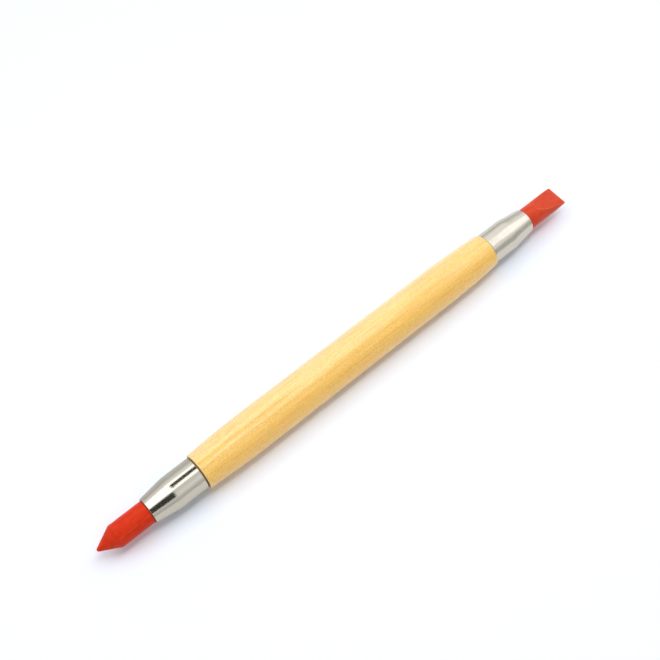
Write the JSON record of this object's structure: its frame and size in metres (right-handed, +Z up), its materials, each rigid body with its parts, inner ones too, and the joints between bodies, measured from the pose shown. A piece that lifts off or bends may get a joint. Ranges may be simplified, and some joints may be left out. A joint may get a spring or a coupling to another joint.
{
  "type": "rubber tip shaping tool",
  "caption": "Double-ended shaping tool: a barrel-shaped wooden handle with a tapered metal ferrule on each end, one holding a rubber cone and the other a rubber chisel.",
  "frame": {"origin": "on the resting surface, under the middle of the whole length and on the tool's axis seen from above", "axes": "+X along the tool towards the chisel tip, +Z up, +Y across, parallel to the chisel's edge"},
  "size_m": [0.179, 0.0126, 0.0126],
  "materials": {
    "turned_wood": "sanded and lightly sealed, satin",
    "plated_ferrule": "bright nickel plate",
    "tip_rubber": "moulded, matte to satin"
  },
  "bodies": {
    "root": {"handle": "turned_wood", "point_ferrule": "plated_ferrule", "chisel_ferrule": "plated_ferrule", "point_tip": "tip_rubber", "chisel_tip": "tip_rubber"}
  },
  "joints": []
}
